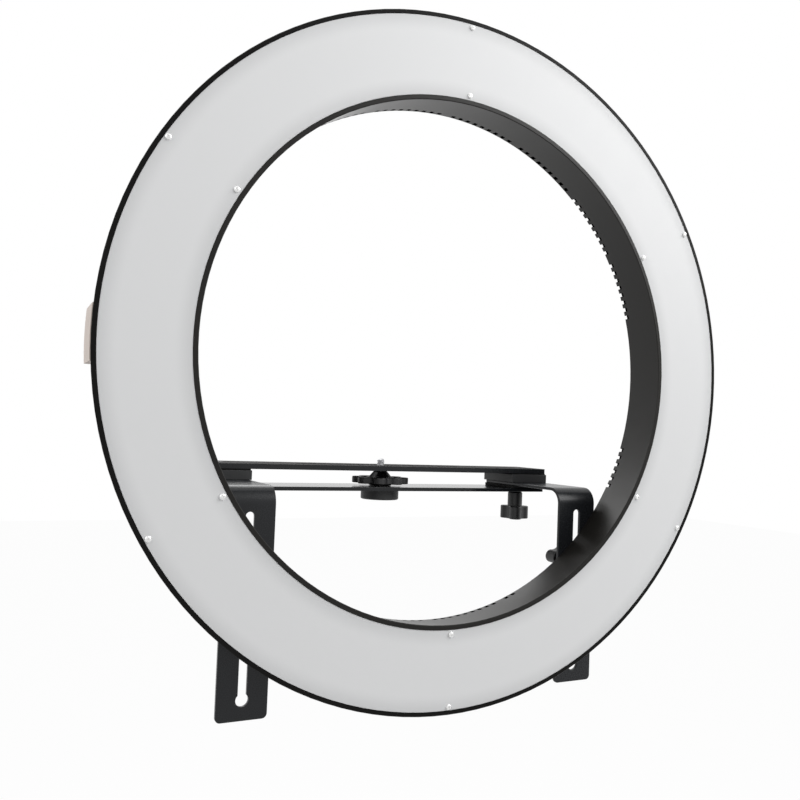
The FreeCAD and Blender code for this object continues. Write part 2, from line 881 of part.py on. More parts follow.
def power_rocker():
    """Paddle at rest with its upper half pressed in."""
    axis_y = rocker_axis_y()
    left = V(control_x - rocker_half_width, axis_y, rocker_z)
    paddle = Part.makeCylinder(rocker_r, 2 * rocker_half_width, left, V(1, 0, 0))
    above = box(control_x - rocker_half_width, control_x + rocker_half_width, axis_y + rocker_crown,
                axis_y + rocker_r, rocker_z - rocker_r, rocker_z + rocker_r)
    pin_half = rocker_half_width + rocker_pin_l
    pin = Part.makeCylinder(rocker_pin_r, 2 * pin_half,
                            V(control_x - pin_half, axis_y, rocker_z), V(1, 0, 0))
    paddle = paddle.cut(above).fuse(pin).removeSplitter()
    paddle.rotate(V(control_x, axis_y, rocker_z), V(1, 0, 0), -rocker_throw / 2)
    return in_ring(paddle)


def inlet_y():
    return ring_depth + (box_depth - box_wall) / 2


def dc_inlet():
    low = -box_half + box_wall
    body = box(control_x - inlet_width / 2, control_x + inlet_width / 2, inlet_y() - inlet_depth / 2,
               inlet_y() + inlet_depth / 2, low, low + inlet_length)
    nose = along_z(inlet_nose_r, control_x, inlet_y(), -box_half - inlet_proud, low)
    tab = box(control_x - inlet_tab_width / 2, control_x + inlet_tab_width / 2,
              pcb_front - inlet_tab_t, pcb_front, low + inlet_length, pcb_bottom + inlet_tab_lap)
    mouth = -box_half - inlet_proud
    socket = union([body, nose, tab])
    socket = socket.cut(along_z(inlet_bore_r, control_x, inlet_y(), mouth, mouth + inlet_bore_l))
    pin = along_z(inlet_pin_r, control_x, inlet_y(), mouth + inlet_pin_short, mouth + inlet_bore_l)
    return in_ring(socket.fuse(pin))


# Clamps that hold the ring to the legs

def clamp_studs():
    studs = []
    for side in (-1, 1):
        x, z = side * leg_x, -clamp_below_centre
        knob_end = washer_back + clamp_neck_l + knob_head_h
        studs.append(union([
            along_y(stud_flange_r, x, z, back_front - stud_flange_t, back_front),
            along_y(stud_collar_r, x, z, back_front, ring_depth),
            along_y(stud_r, x, z, ring_depth, knob_end - bore_roof - stud_end_gap),
        ]))
    return in_ring(Part.makeCompound(studs))


def clamp_washers():
    washers = []
    for side in (-1, 1):
        x, z = side * leg_x, -clamp_below_centre
        disc = along_y(washer_r, x, z, washer_back - washer_t, washer_back)
        washers.append(disc.cut(along_y(stud_r + washer_gap, x, z, washer_back - washer_t, washer_back)))
    return in_ring(Part.makeCompound(washers))


def star_knob(neck_l, chamfer):
    """Lobed knob with its neck's end at Z = 0 and its head away from it, along +Z."""
    head = lobed_face(knob_lobes, knob_tip_r, knob_lobe_r, knob_valley_r).extrude(V(0, 0, knob_head_h))
    head.translate(V(0, 0, neck_l))
    rims = edges_on(head, 2, neck_l) + edges_on(head, 2, neck_l + knob_head_h)
    head = head.makeFillet(knob_edge_r, rims)
    neck = along_z(knob_neck_r, 0, 0, 0, neck_l)
    neck = neck.makeChamfer(chamfer, edges_on(neck, 2, 0))
    return head.fuse(neck).removeSplitter()


def on_clamp_axis(shape):
    """Turns a knob made along +Z so that it points backward from the right-hand washer."""
    shape.rotate(V(0, 0, 0), V(0, 0, 1), clamp_knob_turn)
    shape.rotate(V(0, 0, 0), V(1, 0, 0), -90)
    shape.translate(V(leg_x, ring_front_y + washer_back, z_clamp))
    return shape


def clamp_knob():
    knob = star_knob(clamp_neck_l, clamp_chamfer)
    bore_l = clamp_neck_l + knob_head_h - bore_roof
    return on_clamp_axis(knob.cut(along_z(insert_r + insert_gap, 0, 0, 0, bore_l)))


def clamp_insert():
    length = clamp_neck_l + knob_head_h - bore_roof
    insert = along_z(insert_r, 0, 0, 0, length)
    return on_clamp_axis(insert.cut(along_z(stud_r + thread_gap, 0, 0, 0, length)))


# Bracket

def leg():
    """Right-hand strap leg: hangs behind the ring and bends back into a flange."""
    front = -leg_setback
    inner_r = leg_bend_r - leg_t
    bend_y = front + leg_bend_r
    bend_z = z_block - leg_bend_r
    foot = z_block - leg_length
    mid = math.sqrt(0.5)

    def at(y, z):
        return V(leg_x - leg_width / 2, y, z)

    outline = Part.Wire([
        Part.makeLine(at(front, foot), at(front, bend_z)),
        Part.Arc(at(front, bend_z), at(bend_y - leg_bend_r * mid, bend_z + leg_bend_r * mid),
                 at(bend_y, z_block)).toShape(),
        Part.makeLine(at(bend_y, z_block), at(flange_reach, z_block)),
        Part.makeLine(at(flange_reach, z_block), at(flange_reach, z_flange)),
        Part.makeLine(at(flange_reach, z_flange), at(bend_y, z_flange)),
        Part.Arc(at(bend_y, z_flange), at(bend_y - inner_r * mid, bend_z + inner_r * mid),
                 at(front + leg_t, bend_z)).toShape(),
        Part.makeLine(at(front + leg_t, bend_z), at(front + leg_t, foot)),
        Part.makeLine(at(front + leg_t, foot), at(front, foot)),
    ])
    strap = Part.Face(outline).extrude(V(leg_width, 0, 0))
    corners = []
    for edge in strap.Edges:
        centre = edge.CenterOfMass
        at_end = abs(centre.z - foot) < tolerance or abs(centre.y - flange_reach) < tolerance
        if at_end and abs(edge.Length - leg_t) < tolerance:
            corners.append(edge)
    strap = strap.makeFillet(leg_corner_r, corners)
    slot_top = z_block - slot_top_drop
    keyhole_z = foot + keyhole_rise
    back = front + leg_t
    cuts = [
        box(leg_x - slot_half, leg_x + slot_half, front, back, keyhole_z, slot_top),
        along_y(slot_half, leg_x, slot_top, front, back),
        along_y(keyhole_r, leg_x, keyhole_z, front, back),
        box(leg_x - slot_half, leg_x + slot_half, reach_front, reach_back, z_flange, z_block),
        along_z(slot_half, leg_x, reach_front, z_flange, z_block),
        along_z(slot_half, leg_x, reach_back, z_flange, z_block),
    ]
    return strap.cut(cuts)


def cross_bar(inset, low, high):
    half_length = leg_x + leg_width / 2 - inset
    bar = box(-half_length, half_length, -bar_width / 2, bar_width / 2, low, high)
    bar = bar.makeFillet(bar_corner_r, straight_edges(bar, V(0, 0, 1)))
    return bar.cut([along_z(slot_half, side * leg_x, 0, low, high) for side in (-1, 1)])


def lower_bar():
    bar = cross_bar(lower_bar_inset, z_lower_bar, z_lower_pad)
    return bar.cut(along_z(spigot_r + spigot_gap, 0, 0, z_lower_bar, z_lower_pad))


def camera_bar():
    bar = cross_bar(camera_bar_inset, z_camera_bar, z_bar_top)
    slot = [box(-camera_travel, camera_travel, -slot_width / 2, slot_width / 2, z_camera_bar, z_bar_top)]
    for side in (-1, 1):
        slot.append(along_z(slot_width / 2, side * camera_travel, 0, z_camera_bar, z_bar_top))
    return bar.cut(slot)


def clamped_plate(inset, low, high):
    """Flat piece on the right of the stack, with the thumb screw's clearance hole."""
    inner = leg_x - leg_width / 2 - block_overhang + inset
    outer = leg_x + leg_width / 2 - block_margin - inset
    half_l = bar_width / 2 - inset
    plate = box(inner, outer, -half_l, half_l, low, high)
    return plate.cut(along_z(slot_half + washer_gap, leg_x, 0, low, high))


def both_sides(shape):
    return Part.makeCompound([mirrored(shape), shape])


def stand_socket():
    disc = along_z(socket_r, 0, 0, 0, socket_h)
    disc = disc.makeFillet(socket_edge_r, edges_on(disc, 2, 0))
    socket = disc.fuse(along_z(spigot_r, 0, 0, z_lower_bar, z_lower_pad)).removeSplitter()
    return socket.cut(along_z(socket_thread_r + socket_thread_gap, 0, 0, 0, socket_thread_l))


# Thumb screws below the lower bar

def thumb_knob():
    knob = star_knob(thumb_neck_l, thumb_chamfer)
    knob = knob.cut(along_z(stud_r + insert_gap, 0, 0, 0, thumb_root))
    knob.rotate(V(0, 0, 0), V(1, 0, 0), 180)
    knob.translate(V(leg_x, 0, z_lower_bar))
    return knob


def thumb_stud():
    return along_z(stud_r, leg_x, 0, z_lower_bar - thumb_root, z_bar_top)


# Camera screw

def slot_bush():
    bore_r = camera_thread_r + camera_fit
    flange = along_z(bush_flange_r, 0, 0, z_camera_bar - bush_flange_t, z_camera_bar)
    sleeve = along_z(bush_r, 0, 0, z_camera_bar, z_bar_top - bush_top_gap)
    bush = flange.fuse(sleeve).removeSplitter()
    return bush.cut(along_z(bore_r, 0, 0, z_camera_bar - bush_flange_t, z_bar_top))


def camera_wheel():
    low = z_lower_pad + wheel_lift
    high = low + wheel_t
    hub_top = z_camera_bar - bush_flange_t - hub_gap
    disc = lobed_face(wheel_lobes, wheel_tip_r, wheel_lobe_r, wheel_valley_r).extrude(V(0, 0, wheel_t))
    disc.translate(V(0, 0, low))
    disc = disc.makeFillet(wheel_edge_r, edges_on(disc, 2, low) + edges_on(disc, 2, high))
    webs = []
    for web_low, web_high in ((low, low + web_depth), (high - web_depth, high)):
        web = along_z(web_outer_r, 0, 0, web_low, web_high)
        webs.append(web.cut(along_z(web_inner_r, 0, 0, web_low, web_high)))
    disc = disc.cut(webs)
    cone = Part.makeCone(hub_r, hub_top_r, hub_top - high, V(0, 0, high))
    foot = along_z(hub_r, 0, 0, z_lower_pad + hub_gap, low)
    wheel = union([disc, cone, foot])
    wheel.rotate(V(0, 0, 0), V(0, 0, 1), wheel_turn)
    return wheel.cut(along_z(camera_shank_r + screw_gap, 0, 0, z_lower_pad + hub_gap, hub_top))


def camera_stud():
    """Camera thread on a thinner shank, which starts just above the camera bar."""
    thread_low = z_bar_top + camera_neck_l
    shank = along_z(camera_shank_r, 0, 0, z_lower_pad + hub_gap, thread_low)
    return shank.fuse(along_z(camera_thread_r, 0, 0, thread_low, thread_low + camera_thread_l))


# Files

save("outer_shell", outer_shell())
save("inner_shell", inner_shell())
save("diffuser", diffuser())
save("diffuser_screws", diffuser_screws())
save("back_cover", back_cover())
save("back_screws", back_screws())
save("led_boards", led_boards())
save("board_screws", board_screws())
save("warm_leds", leds(0))
save("cool_leds", leds(1))
save("board_links", board_links())
save("feed_connector", feed_connector())
save("side_cover", side_cover())
save("control_box", control_box())
save("control_screws", control_screws())
save("driver_board", driver_board())
save("driver_board_screws", driver_board_screws())
save("display_window", display_window())
save("display_module", display_module())
save("potentiometers", potentiometers())
save("brightness_shaft", dial_shaft(brightness_z))
save("brightness_dial", dial(brightness_z))
save("colour_shaft", dial_shaft(colour_z))
save("colour_dial", dial(colour_z))
save("switch_housing", switch_housing())
save("power_rocker", power_rocker())
save("dc_inlet", dc_inlet())
save("clamp_studs", clamp_studs())
save("clamp_washers", clamp_washers())
save("right_clamp_knob", clamp_knob())
save("left_clamp_knob", mirrored(clamp_knob()))
save("right_clamp_insert", clamp_insert())
save("left_clamp_insert", mirrored(clamp_insert()))
save("right_leg", leg())
save("left_leg", mirrored(leg()))
save("lower_bar", lower_bar())
save("camera_bar", camera_bar())
save("lower_pads", both_sides(clamped_plate(pad_inset, z_lower_pad, z_flange)))
save("spacer_blocks", both_sides(clamped_plate(0, z_block, z_upper_pad)))
save("upper_pads", both_sides(clamped_plate(pad_inset, z_upper_pad, z_camera_bar)))
save("stand_socket", stand_socket())
save("right_thumb_knob", thumb_knob())
save("left_thumb_knob", mirrored(thumb_knob()))
save("right_thumb_stud", thumb_stud())
save("left_thumb_stud", mirrored(thumb_stud()))
save("slot_bush", slot_bush())
save("camera_wheel", camera_wheel())
save("camera_stud", camera_stud())
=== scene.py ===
# %% [markdown]
# # A ring light on its strap bracket
# This lesson dresses a ring light that already exists as exact parts: a flat lamp ring,
# two bent strap legs, two cross bars with a camera screw between them, and a socket for a
# light stand. The exact parts are loaded first and never moved. What is made here is a
# finish for each of them, finer pieces that stand in the place of some, the printed marks
# round the dials, and the studio.

# %% Load the exact parts
import json
import math

import bmesh
import bpy
from mathutils import Matrix, Vector


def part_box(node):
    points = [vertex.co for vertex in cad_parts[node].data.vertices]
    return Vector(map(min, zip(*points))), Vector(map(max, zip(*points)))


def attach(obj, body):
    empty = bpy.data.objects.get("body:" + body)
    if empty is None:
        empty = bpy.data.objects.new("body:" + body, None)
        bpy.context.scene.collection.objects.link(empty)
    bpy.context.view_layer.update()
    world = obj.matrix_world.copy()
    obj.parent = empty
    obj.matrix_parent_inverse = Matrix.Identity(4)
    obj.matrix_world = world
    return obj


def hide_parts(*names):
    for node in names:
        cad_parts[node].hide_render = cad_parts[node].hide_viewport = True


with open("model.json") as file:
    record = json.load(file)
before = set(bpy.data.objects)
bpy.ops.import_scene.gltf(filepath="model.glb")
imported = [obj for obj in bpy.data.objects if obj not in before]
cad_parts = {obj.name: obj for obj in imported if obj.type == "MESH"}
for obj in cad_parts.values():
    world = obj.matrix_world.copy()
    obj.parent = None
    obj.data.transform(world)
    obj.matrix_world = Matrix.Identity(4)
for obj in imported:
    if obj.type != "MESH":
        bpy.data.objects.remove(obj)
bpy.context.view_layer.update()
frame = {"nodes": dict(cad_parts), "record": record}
nodes = frame["nodes"]
record = frame["record"]
body_of = {node: body for body, held in record["behaviour"]["bodies"].items() for node in held}
slot_of = {row["node"]: row["material_slot"] for row in record["subparts"]}

# %% [markdown]
# ## Where things are
# The lamp is turned about one level axis, so most of its pieces need only that axis, a few
# radii and a few depths. They are read from the boxes of the exact parts, so a lamp of
# another size would still be dressed correctly. Small sizes that no box can tell, such as
# the width of a rounded edge, are written in millimetres.

# %% Axis and main sizes
MM = 0.001


def middle(node):
    """The centre of a part's box."""
    low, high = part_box(node)
    return (low + high) / 2


shell_low, shell_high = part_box("outer_shell")
AXIS_HEIGHT = middle("diffuser").z
RING_R = shell_high.x
FRONT = shell_low.y
DEPTH = shell_high.y - FRONT
print("ring radius", round(RING_R, 4), "depth", round(DEPTH, 4), "axis height", round(AXIS_HEIGHT, 4))

# %% [markdown]
# ## Writing shaders as sums
# A finish is easier to read as an expression than as a picture of wires. This class holds
# one output of a node, and turns Python's own operators into Math nodes. One method adds
# any node at all: first its settings, then the values or links of its sockets. The others
# are short names for the nodes that the finishes use most.

# %% A class for shader maths
class Wire:
    """One output socket of a material or the world, which can be used in an expression."""

    def __init__(self, tree, socket=None):
        self.tree = tree
        self.socket = socket

    def node(self, kind, settings=None, inputs=None, out=0):
        """Adds a node of this kind and returns one of its outputs."""
        made = self.tree.nodes.new(kind)
        for name, value in (settings or {}).items():
            setattr(made, name, value)
        for name, value in (inputs or {}).items():
            if isinstance(value, Wire):
                self.tree.links.new(value.socket, made.inputs[name])
            else:
                made.inputs[name].default_value = value
        return Wire(self.tree, made.outputs[out])

    def math(self, operation, *values):
        return self.node("ShaderNodeMath", {"operation": operation}, dict(enumerate(values)))

    def __add__(self, other):
        return self.math("ADD", self, other)

    def __sub__(self, other):
        return self.math("SUBTRACT", self, other)

    def __rsub__(self, other):
        return self.math("SUBTRACT", other, self)

    def __mul__(self, other):
        return self.math("MULTIPLY", self, other)

    __radd__ = __add__
    __rmul__ = __mul__

    def smooth(self, start, end):
        """0 below start and 1 above end, with a soft change between them."""
        return self.node("ShaderNodeMapRange", {"interpolation_type": "SMOOTHSTEP"},
                         {"Value": self, "From Min": start, "From Max": end})


print("operators", [name for name in vars(Wire) if name.startswith(("__add", "__sub", "__mul", "__r"))])

# %% [markdown]
# ## The few textures that all the finishes share
# Every texture reads Object coordinates. The parts all lie in one frame with their objects
# at the origin, so these coordinates are real metres, and a grain of half a millimetre is
# the same size on each of them. Noise is enough for moulding grain, for the skin of powder
# coat and for the slow unevenness that keeps a large plain surface from looking drawn.

# %% Texture helpers
def start_material(name):
    """An empty material, its main shader and a wire to hang the first nodes on."""
    made = bpy.data.materials.new(name)
    made.use_nodes = True
    return made, made.node_tree.nodes["Principled BSDF"], Wire(made.node_tree)


def coordinate(wire, axis):
    """How far the surface lies along X, Y or Z, in metres."""
    place = wire.node("ShaderNodeTexCoord", out="Object")
    return wire.node("ShaderNodeSeparateXYZ", None, {"Vector": place}, out=axis)


def noise(wire, size, detail=2.0):
    """Noise from 0 to 1 whose patches are about this size in metres."""
    place = wire.node("ShaderNodeTexCoord", out="Object")
    return wire.node("ShaderNodeTexNoise", None, {"Vector": place, "Scale": 1 / size, "Detail": detail})


def blend_colours(wire, share, first, second):
    """One colour where share is 0 and the other where it is 1. Either can be a wire."""
    ends = [end if isinstance(end, Wire) else (*end, 1) for end in (first, second)]
    return wire.node("ShaderNodeMix", {"data_type": "RGBA"},
                     {"Factor": share, "A": ends[0], "B": ends[1]}, out="Result")


def link(wire, shader, name):
    wire.tree.links.new(wire.socket, shader.inputs[name])


def show_mix(wire, share, first, second):
    """Shows one shader where share is 0 and the other where it is 1."""
    mixed = wire.node("ShaderNodeMixShader", None, {0: share, 1: first, 2: second})
    wire.tree.links.new(mixed.socket, wire.tree.nodes["Material Output"].inputs["Surface"])


def add_bump(shader, height, depth):
    """Lets the light see a height that the mesh doesn't have. Depth is in metres."""
    bump = height.node("ShaderNodeBump", None,
                       {"Height": height, "Distance": depth, "Strength": 1.0}, out="Normal")
    link(bump, shader, "Normal")


print("texture helpers ready")

# %% [markdown]
# ## One recipe for the plain finishes
# Moulded plastic, paint, plating and solder mask differ in colour and gloss, but they are
# uneven in the same two ways. Wide patches and a fine grain both vary the colour and the
# gloss a little, and the grain alone raises the surface. So they share one recipe, and each
# finish only names its numbers.

# %% The recipe
PATCH_SIZE = 60 * MM
PATCH_SHARE = 0.6
MIX_FROM, MIX_TO = 0.3, 0.7


def coarse_finish(name, dark, light, roughness, spread, grain, depth,
                  specular=0.5, metallic=0.0, coat=0.0):
    """A plain coloured finish: two close colours, uneven gloss and a grain of bumps.

    Spread is how far each texture moves the roughness. Grain is the size of the bumps and
    depth is their height, both in metres.
    """
    made, shader, wire = start_material(name)
    patches = noise(wire, PATCH_SIZE, 3.0)
    fine = noise(wire, grain, 3.0)
    share = (patches * PATCH_SHARE + fine * (1 - PATCH_SHARE)).smooth(MIX_FROM, MIX_TO)
    link(blend_colours(wire, share, dark, light), shader, "Base Color")
    link(patches * spread + fine * spread + (roughness - spread), shader, "Roughness")
    add_bump(shader, fine, depth)
    shader.inputs["Specular IOR Level"].default_value = specular
    shader.inputs["Metallic"].default_value = metallic
    shader.inputs["Coat Weight"].default_value = coat
    return made


print("patches of", PATCH_SIZE, "m")

# %% [markdown]
# ## Plastics, paint and rubber
# Nearly all of the lamp is black, and its blacks differ by their gloss and their grain. The
# ring's shells are satin mouldings, the bracket is powder coated steel, the knobs are nylon
# with a coarser spark-eroded grain, and the pads are dull rubber.

# %% Black finishes
PAINT_DARK = (0.0100, 0.0110, 0.0128)
PAINT_LIGHT = (0.0155, 0.0170, 0.0196)
PAINT_SPECULAR = 0.28

finishes = {
    "shell_black": coarse_finish(
        "satin_moulding", (0.0080, 0.0073, 0.0063), (0.0125, 0.0115, 0.0100),
        0.33, 0.05, 0.45 * MM, 0.012 * MM, specular=0.2),
    "cover_black": coarse_finish(
        "fine_texture_coat", (0.012, 0.012, 0.0125), (0.020, 0.020, 0.021),
        0.55, 0.08, 0.6 * MM, 0.05 * MM, specular=0.35),
    "bracket_black": coarse_finish(
        "strap_powder_coat", PAINT_DARK, PAINT_LIGHT,
        0.27, 0.05, 0.7 * MM, 0.005 * MM, specular=PAINT_SPECULAR),
    "block_black": coarse_finish(
        "block_nylon", (0.020, 0.0205, 0.0215), (0.029, 0.030, 0.031),
        0.48, 0.06, 0.5 * MM, 0.02 * MM, specular=0.4),
    "knob_black": coarse_finish(
        "knob_nylon", (0.011, 0.011, 0.0115), (0.0185, 0.0185, 0.0195),
        0.42, 0.07, 0.55 * MM, 0.03 * MM, specular=0.45),
    "pad_rubber": coarse_finish(
        "pad_rubber", (0.011, 0.011, 0.011), (0.019, 0.019, 0.019),
        0.80, 0.08, 0.4 * MM, 0.03 * MM, specular=0.25),
    "part_black": coarse_finish(
        "component_moulding", (0.010, 0.010, 0.010), (0.018, 0.018, 0.018),
        0.50, 0.05, 0.4 * MM, 0.01 * MM, specular=0.4),
}
print("black finishes", sorted(finishes))

# %% [markdown]
# ## Pale plastics, metals and boards
# The same recipe, with other colours and gloss, covers the painted screws, the pale cover,
# the plated and blackened steel, the brass inserts, the circuit boards with their lamps,
# and the smoked window.

# %% Pale and metal finishes
finishes.update({
    "white_steel": coarse_finish(
        "white_lacquer", (0.83, 0.83, 0.825), (0.87, 0.87, 0.865),
        0.26, 0.04, 0.4 * MM, 0.003 * MM, metallic=0.6, coat=0.3),
    "pale_plastic": coarse_finish(
        "pale_plastic", (0.79, 0.68, 0.61), (0.84, 0.735, 0.66),
        0.50, 0.06, 0.5 * MM, 0.012 * MM),
    "screw_steel": coarse_finish(
        "zinc_plate", (0.48, 0.485, 0.50), (0.60, 0.60, 0.61),
        0.32, 0.08, 0.3 * MM, 0.004 * MM, metallic=1.0),
    "black_steel": coarse_finish(
        "black_oxide", (0.030, 0.030, 0.033), (0.050, 0.050, 0.053),
        0.42, 0.08, 0.3 * MM, 0.006 * MM, metallic=0.8),
    "insert_brass": coarse_finish(
        "turned_brass", (0.62, 0.44, 0.17), (0.74, 0.56, 0.25),
        0.30, 0.06, 0.3 * MM, 0.004 * MM, metallic=1.0),
    "board_white": coarse_finish(
        "white_mask", (0.74, 0.76, 0.75), (0.80, 0.82, 0.80),
        0.38, 0.05, 0.5 * MM, 0.004 * MM),
    "driver_green": coarse_finish(
        "green_mask", (0.012, 0.085, 0.035), (0.02, 0.12, 0.05),
        0.34, 0.05, 0.5 * MM, 0.004 * MM),
    "led_warm": coarse_finish(
        "warm_phosphor", (0.78, 0.50, 0.10), (0.86, 0.58, 0.16),
        0.35, 0.05, 0.4 * MM, 0.006 * MM),
    "led_cool": coarse_finish(
        "cool_phosphor", (0.80, 0.76, 0.36), (0.86, 0.83, 0.46),
        0.35, 0.05, 0.4 * MM, 0.006 * MM),
    "window_dark": coarse_finish(
        "smoked_window", (0.008, 0.008, 0.010), (0.012, 0.012, 0.014),
        0.08, 0.02, 2.0 * MM, 0.001 * MM, coat=0.5),
})
print("finishes so far", len(finishes))

# %% [markdown]
# ## The frosted panel
# The lamp is off, so its diffuser is a pale grey-white sheet of frosted acrylic. It is
# darker over about a centimetre along both rims, where the ledge behind it takes the light
# that soaks in everywhere else, and that shade is painted into the panel's colour. The
# distance from the ring's axis draws the band of painted shade, and slow noise keeps it
# from being perfectly even.

# %% The panel's finish
PANEL_PALE = (0.80, 0.805, 0.81)
PANEL_SHADED = (0.66, 0.665, 0.67)
PANEL_CLOUD = 25 * MM
PANEL_GRAIN, PANEL_GRAIN_DEPTH = 0.35 * MM, 0.006 * MM
PANEL_ROUGHNESS = 0.42
INNER_LEDGE_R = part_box("inner_shell")[1].x
INNER_SHADE_BAND = (INNER_LEDGE_R - 7 * MM, INNER_LEDGE_R + 6 * MM)
OUTER_SHADE_BAND = (RING_R - 15 * MM, RING_R - 2 * MM)


def axis_distance(wire):
    """How far the surface lies from the ring's axis, in metres."""
    across = coordinate(wire, "X")
    up = coordinate(wire, "Z") - AXIS_HEIGHT
    return wire.math("SQRT", across * across + up * up)


def frosted_panel():
    made, shader, wire = start_material("frosted_panel")
    radius = axis_distance(wire)
    cloud = noise(wire, PANEL_CLOUD, 3.0)
    # The rim bands are painted shade, mixed into the panel's base colour.
    inner = 1 - radius.smooth(*INNER_SHADE_BAND)
    outer = radius.smooth(*OUTER_SHADE_BAND)
    shade = wire.math("MAXIMUM", outer, inner) * (cloud * 0.3 + 0.7)
    link(blend_colours(wire, shade, PANEL_PALE, PANEL_SHADED), shader, "Base Color")
    link(cloud * 0.10 + PANEL_ROUGHNESS, shader, "Roughness")
    add_bump(shader, noise(wire, PANEL_GRAIN), PANEL_GRAIN_DEPTH)
    return made


finishes["diffuser_white"] = frosted_panel()
print("inner ledge ends at", round(INNER_LEDGE_R, 4), "and the ring at", round(RING_R, 4))

# %% [markdown]
# ## The top of the camera bar
# The camera stands on this bar, so its upper face carries a dull black film that keeps the
# camera from slipping, while its edges show the same paint as the legs. A step in height
# decides which is which: everything within a tenth of a millimetre of the top is film. That
# needs no second part and no painted map.

# %% Film on the camera bar
FILM_DARK = (0.0060, 0.0060, 0.0060)
FILM_LIGHT = (0.0100, 0.0100, 0.0100)
FILM_FROM, FILM_FULL = 0.12 * MM, 0.04 * MM
FILM_DULLNESS = 0.55
BAR_CLOUD = 40 * MM
BAR_GRAIN, BAR_GRAIN_DEPTH = 0.8 * MM, 0.03 * MM
BAR_ROUGHNESS = 0.22


def filmed_bar():
    made, shader, wire = start_material("filmed_bar")
    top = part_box("camera_bar")[1].z
    film = coordinate(wire, "Z").smooth(top - FILM_FROM, top - FILM_FULL)
    cloud = noise(wire, BAR_CLOUD, 3.0)
    grain = noise(wire, BAR_GRAIN, 3.0)
    paint = blend_colours(wire, cloud, PAINT_DARK, PAINT_LIGHT)
    rubber = blend_colours(wire, cloud, FILM_DARK, FILM_LIGHT)
    link(blend_colours(wire, film, paint, rubber), shader, "Base Color")
    link(film * FILM_DULLNESS + grain * 0.1 + BAR_ROUGHNESS, shader, "Roughness")
    add_bump(shader, grain, BAR_GRAIN_DEPTH)
    shader.inputs["Specular IOR Level"].default_value = PAINT_SPECULAR
    return made


own_finish = {"camera_bar": filmed_bar()}

# %% [markdown]
# ## Painted shade in the vents
# Air leaves the lamp through slots 3 mm wide in the wall of the hole, with an unlit hollow
# behind them. Their cheeks lie in deep shade and give back almost no light, and that shade
# is painted: a near-black diffuse shader takes the finish's place there. The wall is a cone
# that widens towards the back, so the painted shade starts a little behind that cone's own
# surface at each depth. In the cover behind the wall it starts at the very edge. It stops
# just short of the back, which leaves the wall's end and the cover's face as they are.

# %% Finishes of the vented parts, with painted shade in the vents
HOLE_FRONT_R = 183.3 * MM
HOLE_BACK_R = 187.7 * MM
VENT_DEPTH = 5.2 * MM
VENT_SPAN = (DEPTH - VENT_DEPTH - 0.3 * MM, DEPTH - 0.2 * MM)
WALL_SPAN = (0.15 * MM, 1.45 * MM)
COVER_SPAN = (-1.0 * MM, 2.3 * MM)
SOFT_EDGE = 0.1 * MM
# Colour of the painted shade on the vents' cheeks.
VENT_SHADE_COLOUR = (0.0010, 0.0010, 0.0010, 1)


def within(distance, span):
    """1 where a distance lies between two others, with a soft edge at each."""
    start, end = span
    return distance.smooth(start, start + SOFT_EDGE) * (1 - distance.smooth(end, end + SOFT_EDGE))


def vented(slot, span):
    """A copy of a finish with painted shade over a span measured out from the wall of the hole."""
    made = finishes[slot].copy()
    made.name = slot + "_vented"
    wire = Wire(made.node_tree)
    depth = coordinate(wire, "Y") - FRONT
    flare = (HOLE_BACK_R - HOLE_FRONT_R) / DEPTH
    behind = axis_distance(wire) - depth * flare - HOLE_FRONT_R
    plain = Wire(wire.tree, wire.tree.nodes["Principled BSDF"].outputs[0])
    # The vents' cheeks get painted shade: a near-black diffuse shader mixed in over the mask.
    painted_shade = wire.node("ShaderNodeBsdfDiffuse", None, {"Color": VENT_SHADE_COLOUR})
    show_mix(wire, within(behind, span) * within(depth, VENT_SPAN), plain, painted_shade)
    return made


own_finish["inner_shell"] = vented("shell_black", WALL_SPAN)
own_finish["back_cover"] = vented("cover_black", COVER_SPAN)
print("vents behind a cone of", HOLE_FRONT_R, "to", HOLE_BACK_R)

# %% [markdown]
# ## The outer wall and the lower bar
# The outer shell is the deepest black on the lamp. Its front rim faces the studio lights
# and would turn grey in the gloss of the inner one, so it gets a duller finish of its own.
# The lower bar is the opposite: its paint has flowed out smooth, so that its top, seen at
# three degrees, mirrors the white room and only its front edge stays dark.

# %% Finishes of the outer shell and the lower bar
own_finish["outer_shell"] = coarse_finish(
    "dull_moulding", (0.0050, 0.0048, 0.0045), (0.0080, 0.0077, 0.0072),
    0.36, 0.05, 0.45 * MM, 0.008 * MM, specular=0.07)
own_finish["lower_bar"] = coarse_finish(
    "smooth_paint", (0.0090, 0.0098, 0.0112), (0.0135, 0.0148, 0.0170),
    0.14, 0.03, 0.7 * MM, 0.001 * MM, specular=PAINT_SPECULAR)
print("own finishes", sorted(own_finish))

# %% [markdown]
# ## Every part gets its finish
# Each exact part names its finish in the record, and a few have one of their own.

# %% Finishes on the exact parts
def finish_of(node):
    return own_finish.get(node, finishes[slot_of[node]])


for node, piece in nodes.items():
    piece.data.materials.clear()
    piece.data.materials.append(finish_of(node))
print("finished parts", len(nodes))

# %% [markdown]
# ## From a shape to a piece of the lamp
# A bmesh is only a shape. To show, it needs a mesh, an object, a finish, and a body to move
# with. Faces that meet at a shallow angle are shaded as one curve, and steeper ones keep
# their crease. A piece that is finer than an exact part takes that part's place, so the two
# never show at once.

# %% Helpers that show a shape
CREASE_ANGLE = math.radians(38)


def mesh_object(name, shape):
    """A new object in the scene whose mesh is this shape. The shape itself is freed."""
    mesh = bpy.data.meshes.new(name)
    shape.to_mesh(mesh)
    shape.free()
    made = bpy.data.objects.new(name, mesh)
    bpy.context.scene.collection.objects.link(made)
    return made


